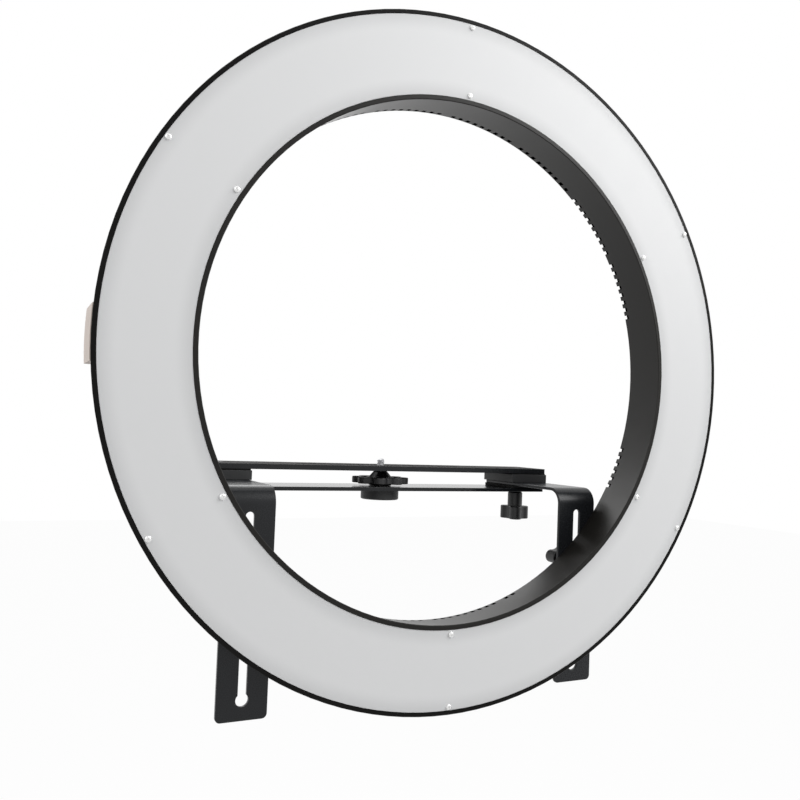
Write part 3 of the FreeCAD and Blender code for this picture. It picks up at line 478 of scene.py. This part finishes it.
def show(name, shape, body, slot, finish, stands_for=()):
    """Turns a shape into a piece that rides with a body, in place of some exact parts."""
    made = mesh_object(name, shape)
    made.data.shade_smooth()
    made.data.set_sharp_from_angle(angle=CREASE_ANGLE)
    made.data.materials.append(finish)
    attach(made, body)
    if stands_for:
        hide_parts(*stands_for)
    return made


def stand_in(node, shape, ending):
    """An object that takes one exact part's place, body and finish."""
    return show(f"{node}_{ending}", shape, body_of[node], slot_of[node], finish_of(node), [node])


print("creases above", round(math.degrees(CREASE_ANGLE)), "degrees")

# %% [markdown]
# ## Rounded edges
# The exact parts have knife edges, and a real edge never is one: the mould, the file or the
# thickness of the paint rounds it, and it catches a thin line of light. An exact part's
# mesh is loose triangles, so a copy is merged first and its flat faces are made whole. Then
# only the edges that turn sharply are bevelled, by a few tenths of a millimetre. Weighted
# normals keep the large flat faces flat. A Bevel modifier would do the same job, but the
# operator lets the script choose its edges by angle after the merge.

# %% Copies with rounded edges
MERGE_DISTANCE = 0.002 * MM
FLAT_ANGLE = math.radians(0.5)
EDGE_ANGLE = math.radians(32)


def joined_copy(node):
    """A part's own shape as one connected mesh with whole flat faces."""
    shape = bmesh.new()
    shape.from_mesh(nodes[node].data)
    bmesh.ops.remove_doubles(shape, verts=shape.verts, dist=MERGE_DISTANCE)
    bmesh.ops.dissolve_limit(shape, angle_limit=FLAT_ANGLE, verts=shape.verts, edges=shape.edges)
    return shape


def rounded(node, width, segments):
    """A copy of a part whose sharp edges are rounded, in place of the part."""
    shape = joined_copy(node)
    sharp = [edge for edge in shape.edges if edge.is_manifold and edge.calc_face_angle() > EDGE_ANGLE]
    bmesh.ops.bevel(shape, geom=sharp, offset=width, offset_type="OFFSET", segments=segments,
                    profile=0.5, affect="EDGES", clamp_overlap=True, material=-1)
    made = stand_in(node, shape, "rounded")
    made.modifiers.new("flat faces stay flat", "WEIGHTED_NORMAL").keep_sharp = True
    return made


def round_all(rows):
    """Rounds each of these parts by its own width in millimetres, in so many segments."""
    for node, width, segments in rows:
        made = rounded(node, width * MM, segments)
        print(made.name, "faces", len(made.data.polygons))


print("edges turn by more than", round(math.degrees(EDGE_ANGLE)), "degrees")

# %% [markdown]
# ## The ring
# Two thin shells, moulded separately, make the ring's outer and inner walls, and the frosted
# panel lies on a ledge in each. Their rims are only three millimetres wide, so their edges
# are rounded by very little, or the bright line on them would swallow the whole rim.

# %% Ring shells, panel and side cover
round_all((("outer_shell", 0.35, 2), ("inner_shell", 0.3, 2), ("diffuser", 0.25, 2),
           ("side_cover", 0.5, 2)))

# %% [markdown]
# ## The bracket
# The legs are steel strap, sheared, bent and painted, and the bars are cut from flat stock.
# Paint draws back from an edge and leaves it rounder than the metal under it. The blocks are
# machined nylon with the widest break of all, and the pads are die-cut rubber.

# %% Bracket pieces
round_all((("left_leg", 0.5, 3), ("right_leg", 0.5, 3), ("lower_bar", 0.5, 3), ("camera_bar", 0.6, 3),
           ("spacer_blocks", 0.8, 3), ("lower_pads", 0.35, 2), ("upper_pads", 0.25, 2),
           ("stand_socket", 0.5, 3)))

# %% [markdown]
# ## Knobs, wheel and controls
# These are small mouldings with generous radii, which the exact parts already have on their
# lobes. What is left to round are the ends of the necks, the flutes of the dials and the
# rims of the box, the window and the rocker.

# %% Knobs and controls
round_all((("left_clamp_knob", 0.4, 2), ("right_clamp_knob", 0.4, 2), ("left_thumb_knob", 0.4, 2),
           ("right_thumb_knob", 0.4, 2), ("camera_wheel", 0.4, 2), ("control_box", 0.4, 2),
           ("brightness_dial", 0.25, 2), ("colour_dial", 0.25, 2), ("power_rocker", 0.3, 2),
           ("switch_housing", 0.25, 2), ("display_window", 0.25, 2), ("dc_inlet", 0.25, 2)))

# %% [markdown]
# ## Finding the pieces of a set
# The twelve screws in the panel are one exact part made of twelve solids. To put a finer
# screw in the place of each, the script has to know where each one is. It walks from vertex
# to vertex along the edges of the merged mesh, and what it can reach is one piece.

# %% Boxes of the separate pieces
def separate_boxes(node):
    """Lowest and highest corner of each solid of a part, in the order of its vertices."""
    shape = joined_copy(node)
    boxes = []
    for first in shape.verts:
        if first.tag:
            continue
        first.tag = True
        reached = [first]
        for vert in reached:
            for edge in vert.link_edges:
                other = edge.other_vert(vert)
                if not other.tag:
                    other.tag = True
                    reached.append(other)
        along = [[vert.co[axis] for vert in reached] for axis in range(3)]
        boxes.append((Vector([min(values) for values in along]), Vector([max(values) for values in along])))
    shape.free()
    return boxes


print("diffuser screws", len(separate_boxes("diffuser_screws")))

# %% [markdown]
# ## Tools for finer pieces
# A turned piece is half of its outline spun about an axis. A recess is cut by a block with
# a Boolean, whose result is read back as a mesh, so that the block can be thrown away. A
# piece that repeats is made once and copied into one mesh.

# %% Spinning, cutting and copying
POLE_DISTANCE = 0.001 * MM


def spun(outline, steps):
    """A solid turned about Z from radii and heights that start and end on the axis."""
    shape = bmesh.new()
    corners = [shape.verts.new((radius, 0, height)) for radius, height in outline]
    edges = [shape.edges.new(pair) for pair in zip(corners, corners[1:])]
    bmesh.ops.spin(shape, geom=corners + edges, cent=(0, 0, 0), axis=(0, 0, 1), angle=math.tau,
                   steps=steps, use_merge=True)
    bmesh.ops.remove_doubles(shape, verts=shape.verts, dist=POLE_DISTANCE)
    bmesh.ops.recalc_face_normals(shape, faces=shape.faces)
    return shape


def block(size, centre):
    shape = bmesh.new()
    bmesh.ops.create_cube(shape, size=1.0)
    bmesh.ops.scale(shape, verts=shape.verts, vec=size)
    bmesh.ops.translate(shape, verts=shape.verts, vec=centre)
    return shape


def carved(shape, cutters):
    """A shape less each of the cutters in turn."""
    for cutter in cutters:
        body, tool = mesh_object("helper", shape), mesh_object("helper", cutter)
        cut = body.modifiers.new("cut", "BOOLEAN")
        cut.operation = "DIFFERENCE"
        cut.solver = "EXACT"
        cut.object = tool
        shape = bmesh.new()
        shape.from_object(body, bpy.context.evaluated_depsgraph_get())
        for helper in (body, tool):
            bpy.data.meshes.remove(helper.data)
    return shape


def with_copies(whole, shape, places):
    """Adds a copy of a shape at each of these places to a mesh. The shape is freed."""
    single = bpy.data.meshes.new("single")
    shape.to_mesh(single)
    shape.free()
    for place in places:
        count = len(whole.verts)
        whole.from_mesh(single)
        whole.verts.ensure_lookup_table()
        bmesh.ops.transform(whole, matrix=place, verts=whole.verts[count:])
    bpy.data.meshes.remove(single)
    return whole


print("tools ready")

# %% [markdown]
# ## Screws with cross recesses
# A pan head is a shallow dome, drawn as one outline with the shank and spun. Two narrow
# blocks cut the cross into it. One screw is made for each set and copied to every place,
# turned a little differently each time, as a screwdriver leaves them.

# %% Screw shapes
DOME = ((0, 0), (0.55, 0.12), (0.82, 0.45), (1, 1))
TIP_SHARE = 0.6
CROSS_LENGTH, CROSS_WIDTH, CROSS_DEPTH = 1.15, 0.26, 0.65
CROSS_ABOVE = 0.2 * MM
TURN_DEGREES = 37
SCREW_STEPS = 32


def cross_screw(head_r, head_h, shank_r, length, dome):
    """A screw along Z whose head's top is at 0, with a cross cut into it."""
    outline = [(head_r * out, -dome * down) for out, down in DOME]
    outline += [(head_r, -head_h), (shank_r, -head_h)]
    outline += [(shank_r, -length + shank_r * TIP_SHARE), (0, -length)]
    arm, width, depth = head_r * CROSS_LENGTH, head_r * CROSS_WIDTH, head_h * CROSS_DEPTH
    centre = (0, 0, CROSS_ABOVE - depth / 2)
    slots = [block((arm, width, depth), centre), block((width, arm, depth), centre)]
    return carved(spun(outline, SCREW_STEPS), slots)


def screw_set(node, front, head_h, shank_r, dome):
    """Cross screws in place of a set that lies along Y, with their heads in front or behind."""
    boxes = separate_boxes(node)
    facing = Matrix.Rotation(math.radians(90 if front else -90), 4, "X")
    places = []
    for index, (low, high) in enumerate(boxes):
        centre = (low + high) / 2
        centre.y = low.y if front else high.y
        turn = Matrix.Rotation(math.radians(TURN_DEGREES * index), 4, "Z")
        places.append(Matrix.Translation(centre) @ facing @ turn)
    size = boxes[-1][1] - boxes[-1][0]
    shape = cross_screw(size.x / 2, head_h, shank_r, size.y, dome)
    return stand_in(node, with_copies(bmesh.new(), shape, places), "crossed")


for node, front, head_h, shank_r, dome in (("diffuser_screws", True, 1.3, 1.4, 0.55),
                                           ("back_screws", False, 1.4, 1.4, 0.2),
                                           ("control_screws", False, 1.4, 1.2, 0.2)):
    made = screw_set(node, front, head_h * MM, shank_r * MM, dome * MM)
    print(made.name, "faces", len(made.data.polygons))

# %% [markdown]
# ## The camera screw's thread
# Twenty threads to the inch is a pitch of 1.27 mm. The ridge is a small triangle that spins
# while it climbs, which the spin operator does when it is given a rise for each step. It
# lies on a solid core, whose end is chamfered so that the screw finds its hole.

# %% Camera screw
THREAD_PITCH = 1.27 * MM
THREAD_DEPTH = 0.55 * MM
THREAD_STEPS = 40
RIDGE_CREST, RIDGE_WIDTH = 0.42, 0.84
RIDGE_SUNK = 0.05 * MM
RIDGE_BELOW_TOP = 0.35 * MM
THREAD_ABOVE_BAR = 0.3 * MM
SHANK_STEP = 0.175 * MM
SHANK_CHAMFER = 0.1 * MM
TIP_CHAMFER = 0.6 * MM
TIP_STEP = 1.2 * MM
CORE_STEPS = 48


def thread_ridge(radius, low, high):
    """A helical ridge about Z between two heights, closed at both ends."""
    shape = bmesh.new()
    root = radius - THREAD_DEPTH - RIDGE_SUNK
    corners = [shape.verts.new(place) for place in ((root, 0, low),
                                                    (radius, 0, low + THREAD_PITCH * RIDGE_CREST),
                                                    (root, 0, low + THREAD_PITCH * RIDGE_WIDTH))]
    start = shape.faces.new(corners)
    turns = (high - low - THREAD_PITCH * RIDGE_WIDTH) / THREAD_PITCH
    steps = round(turns * THREAD_STEPS)
    bmesh.ops.spin(shape, geom=[start] + start.edges[:] + corners, cent=(0, 0, 0), axis=(0, 0, 1),
                   dvec=(0, 0, turns * THREAD_PITCH / steps), angle=math.tau * turns, steps=steps)
    bmesh.ops.holes_fill(shape, edges=shape.edges)
    bmesh.ops.recalc_face_normals(shape, faces=shape.faces)
    return shape


def camera_screw():
    low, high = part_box("camera_stud")
    radius = (high.x - low.x) / 2
    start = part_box("camera_bar")[1].z + THREAD_ABOVE_BAR
    core = spun([(0, low.z), (radius - SHANK_STEP, low.z), (radius - SHANK_STEP, start - SHANK_CHAMFER),
                 (radius - THREAD_DEPTH, start), (radius - THREAD_DEPTH, high.z - TIP_CHAMFER),
                 (radius - TIP_STEP, high.z), (0, high.z)], CORE_STEPS)
    ridge = thread_ridge(radius, start, high.z - RIDGE_BELOW_TOP)
    return stand_in("camera_stud", with_copies(core, ridge, [Matrix()]), "threaded")


made = camera_screw()
print(made.name, "faces", len(made.data.polygons))

# %% [markdown]
# ## Marks round the dials
# The dials need marks to be read against. On the real lamp these are pad printed, so here
# they are films a few hundredths of a millimetre thick. A short bar is copied round each
# dial over the three quarters of a turn that it travels.

# %% Printed marks
PRINT_T = 0.04 * MM
MARK_WIDTH, MARK_LENGTH = 0.35 * MM, 1.3 * MM
MARK_FROM_DIAL = 1.3 * MM
MARK_COUNT = 11
DIAL_TRAVEL = 270.0


def marks_round(dial):
    """Places of short bars round a dial, on the face behind it."""
    low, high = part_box(dial)
    centre = middle(dial)
    centre.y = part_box("control_box")[1].y
    out = Matrix.Translation((0, 0, (high.x - low.x) / 2 + MARK_FROM_DIAL))
    for index in range(MARK_COUNT):
        angle = math.radians(-DIAL_TRAVEL / 2 + DIAL_TRAVEL * index / (MARK_COUNT - 1))
        yield Matrix.Translation(centre) @ (Matrix.Rotation(angle, 4, "Y") @ out)


places = [place for dial in ("brightness_dial", "colour_dial") for place in marks_round(dial)]
bar = block((MARK_WIDTH, 2 * PRINT_T, MARK_LENGTH), (0, 0, 0))
marks = with_copies(bmesh.new(), bar, places)
made = show("dial_marks", marks, "ring", "white_steel", finishes["white_steel"])
print(made.name, "marks", len(places))

# %% [markdown]
# ## A studio with nothing in it
# The floor is a wide pale sheet at the height of a light stand's feet. The floor and the
# world are white where the camera, a reflection or a clear part looks at them, and softer
# where they only light the lamp. A little of the floor's own shading is kept, and with it
# the lamp's shadow.

# %% Floor and world
FLOOR_Z = -0.9
FLOOR_HALF = 8.0
FLOOR_GLOW = 0.97
FLOOR_DARK, FLOOR_LIGHT = (0.86, 0.86, 0.86), (0.88, 0.88, 0.88)
FLOOR_PATCHES = 0.4
WORLD_LIGHT = 0.265
WHITE = (1, 1, 1, 1)


def looked_at(wire):
    """1 for a ray that shows the background to the viewer, straight or by reflection."""
    seen = wire.node("ShaderNodeLightPath", out="Is Camera Ray")
    for ray in ("Is Glossy Ray", "Is Transmission Ray"):
        seen = seen.math("MAXIMUM", seen, wire.node("ShaderNodeLightPath", out=ray))
    return seen


def make_floor():
    sheet = bmesh.new()
    bmesh.ops.create_grid(sheet, x_segments=1, y_segments=1, size=FLOOR_HALF)
    bmesh.ops.translate(sheet, verts=sheet.verts, vec=(0, 0, FLOOR_Z))
    floor = mesh_object("floor", sheet)
    made, shader, wire = start_material("pale_floor")
    shader.inputs["Roughness"].default_value = 0.9
    shader.inputs["Specular IOR Level"].default_value = 0.1
    link(blend_colours(wire, noise(wire, FLOOR_PATCHES), FLOOR_DARK, FLOOR_LIGHT), shader, "Base Color")
    glow = wire.node("ShaderNodeEmission", None, {"Color": WHITE, "Strength": 1.0})
    show_mix(wire, looked_at(wire) * FLOOR_GLOW, Wire(wire.tree, shader.outputs[0]), glow)
    floor.data.materials.append(made)


def make_world():
    world = bpy.data.worlds.new("studio")
    bpy.context.scene.world = world
    world.use_nodes = True
    shader = world.node_tree.nodes["Background"]
    shader.inputs["Color"].default_value = WHITE
    level = looked_at(Wire(world.node_tree)) * (1 - WORLD_LIGHT) + WORLD_LIGHT
    link(level, shader, "Strength")


make_floor()
make_world()
print("floor at", FLOOR_Z, "world lights at", WORLD_LIGHT)

# %% [markdown]
# ## Four lamps
# One large lamp high at the front and right makes the panel brighter there and darker
# towards its lower left. A weak one on the left shows the side cover, and two more from
# above and behind lay a pale sheen on the upper faces of the bracket.

# %% Lamps
RING_AIM = (0.0, -0.1, 0.1)
BRACKET_AIM = (0.0, 0.0, 0.0)


def add_lamp(name, place, target, size, power):
    lamp = bpy.data.lights.new(name, "AREA")
    lamp.shape = "DISK"
    lamp.size = size
    lamp.energy = power
    holder = bpy.data.objects.new(name, lamp)
    holder.location = place
    holder.rotation_euler = (Vector(target) - Vector(place)).to_track_quat("-Z", "Y").to_euler()
    bpy.context.scene.collection.objects.link(holder)


add_lamp("front_lamp", (1.25, -1.00, 1.15), RING_AIM, 1.5, 31.0)
add_lamp("left_lamp", (-1.5, -0.75, 0.9), RING_AIM, 1.6, 10.0)
add_lamp("back_lamp", (0.2, 1.3, 1.0), BRACKET_AIM, 1.2, 6.0)
add_lamp("top_lamp", (-0.3, 0.2, 1.8), BRACKET_AIM, 1.4, 4.0)
print("lamps", len(bpy.data.lights))

# %% [markdown]
# ## The camera
# The photograph was taken from the lamp's left, a little below its middle. Four circles of
# the ring, seen as ellipses, fix where the camera stood: its place, the way it faced and a
# slight roll, which is why the whole lamp seems turned clockwise by two degrees.

# %% Camera at the photographed angle
CAMERA_PLACE = Vector((-0.29321, -0.62709, 0.05417))
YAW = math.radians(26.223)
PITCH = math.radians(2.392)
ROLL = math.radians(2.207)
LENS_MM = 37.2
SENSOR_WIDTH_MM = 36.0

forward = Vector((math.sin(YAW) * math.cos(PITCH), math.cos(YAW) * math.cos(PITCH), math.sin(PITCH)))
level_right = Vector((math.cos(YAW), -math.sin(YAW), 0))
level_up = level_right.cross(forward)
right = level_right * math.cos(ROLL) + level_up * math.sin(ROLL)
up = level_up * math.cos(ROLL) - level_right * math.sin(ROLL)
facing = Matrix((right, up, -forward)).transposed().to_4x4()
lens = bpy.data.cameras.new("camera")
lens.lens = LENS_MM
lens.sensor_width = SENSOR_WIDTH_MM
camera = bpy.data.objects.new("camera", lens)
camera.matrix_world = Matrix.Translation(CAMERA_PLACE) @ facing
bpy.context.scene.collection.objects.link(camera)
bpy.context.scene.camera = camera
bpy.context.scene.view_settings.view_transform = "Standard"
print("camera looks along", [round(part, 3) for part in forward])

# %% [markdown]
# ## The end
# The dressed lamp has to stay inside the box of the exact parts.
